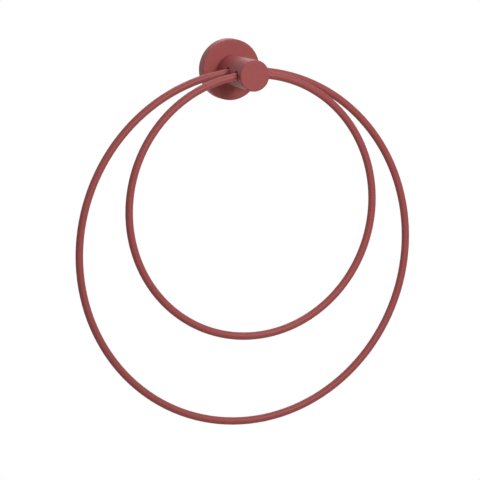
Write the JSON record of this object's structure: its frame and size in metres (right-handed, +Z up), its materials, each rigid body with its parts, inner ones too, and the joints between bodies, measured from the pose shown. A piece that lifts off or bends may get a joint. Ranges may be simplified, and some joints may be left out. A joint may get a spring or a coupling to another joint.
{
  "type": "towel ring",
  "caption": "Wall towel ring: a round post on a round rosette carries nested round-bar rings, a small one in front of a large one, that swing in its cross holes and hold towels.",
  "frame": {"origin": "centre of the rosette's back, on the wall", "axes": "+Z up, -Y out of the wall along the post, +X to the right for someone who faces the wall"},
  "size_m": [0.2944, 0.0586, 0.3153],
  "materials": {
    "powder_coat": "matt terracotta powder coat",
    "zinc_steel": "zinc plated, dull",
    "black_steel": "blackened set screw"
  },
  "bodies": {
    "wall_fitting": {"rosette": "powder_coat", "post": "powder_coat", "post_screw": "zinc_steel", "post_washer": "zinc_steel", "wall_bracket": "zinc_steel", "grub_screw": "black_steel"},
    "outer_hoop": {"outer_ring": "powder_coat"},
    "inner_hoop": {"inner_ring": "powder_coat"}
  },
  "joints": [
    {"name": "outer_ring_swing", "type": "hinge", "parent": "wall_fitting", "child": "outer_hoop", "pos_m": [0, -0.0304, 0.00067], "axis": [-1, 0, 0], "range_deg": [-5.4, 185.4]},
    {"name": "inner_ring_swing", "type": "hinge", "parent": "wall_fitting", "child": "inner_hoop", "pos_m": [0, -0.049, -0.00051], "axis": [-1, 0, 0], "range_deg": [-12.4, 192.4]}
  ]
}
